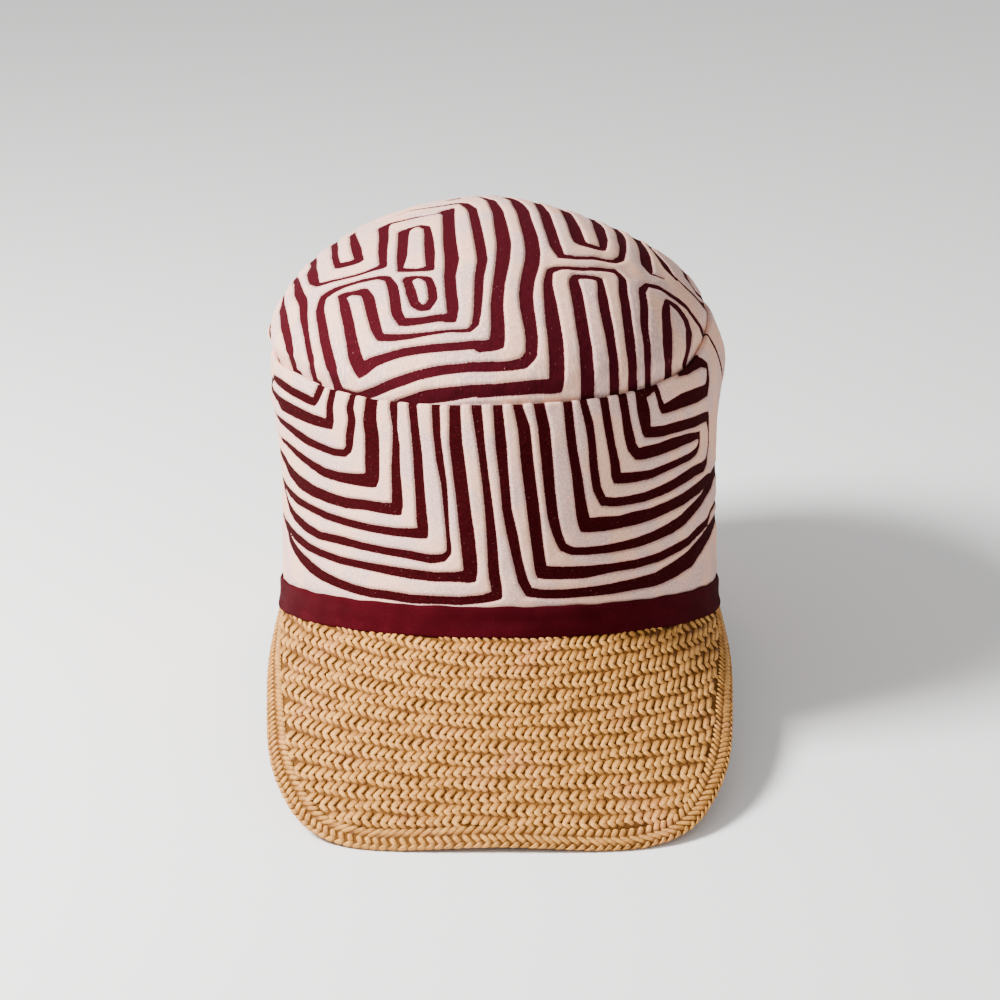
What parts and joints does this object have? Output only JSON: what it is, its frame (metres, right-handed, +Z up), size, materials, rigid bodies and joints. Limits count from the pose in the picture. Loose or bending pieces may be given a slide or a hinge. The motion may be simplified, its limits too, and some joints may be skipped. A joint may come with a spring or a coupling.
{
  "type": "peaked cloth cap with a woven straw peak",
  "caption": "Tall peaked cap with a labyrinth applique crown, a tape round its base and a woven straw peak with a braided border.",
  "frame": {"origin": "middle of the cap's box on the surface that it rests on", "axes": "+Z up, +Y from the peak's front edge towards the back of the crown, +X towards the wearer's left side"},
  "size_m": [0.1748, 0.3002, 0.1796],
  "materials": {
    "applique_cotton": "cream cotton cut in narrow bands over a dark burgundy ground, hand sewn, matte",
    "herringbone_tape": "burgundy cotton herringbone tape, matte",
    "woven_straw": "natural straw in a twill weave of chevron rows, faint natural gloss",
    "straw_braid": "natural straw braid, faint natural gloss"
  },
  "bodies": {
    "root": {"crown_side": "applique_cotton", "crown_top": "applique_cotton", "base_tape": "herringbone_tape", "peak": "woven_straw", "peak_border": "straw_braid"}
  },
  "joints": []
}
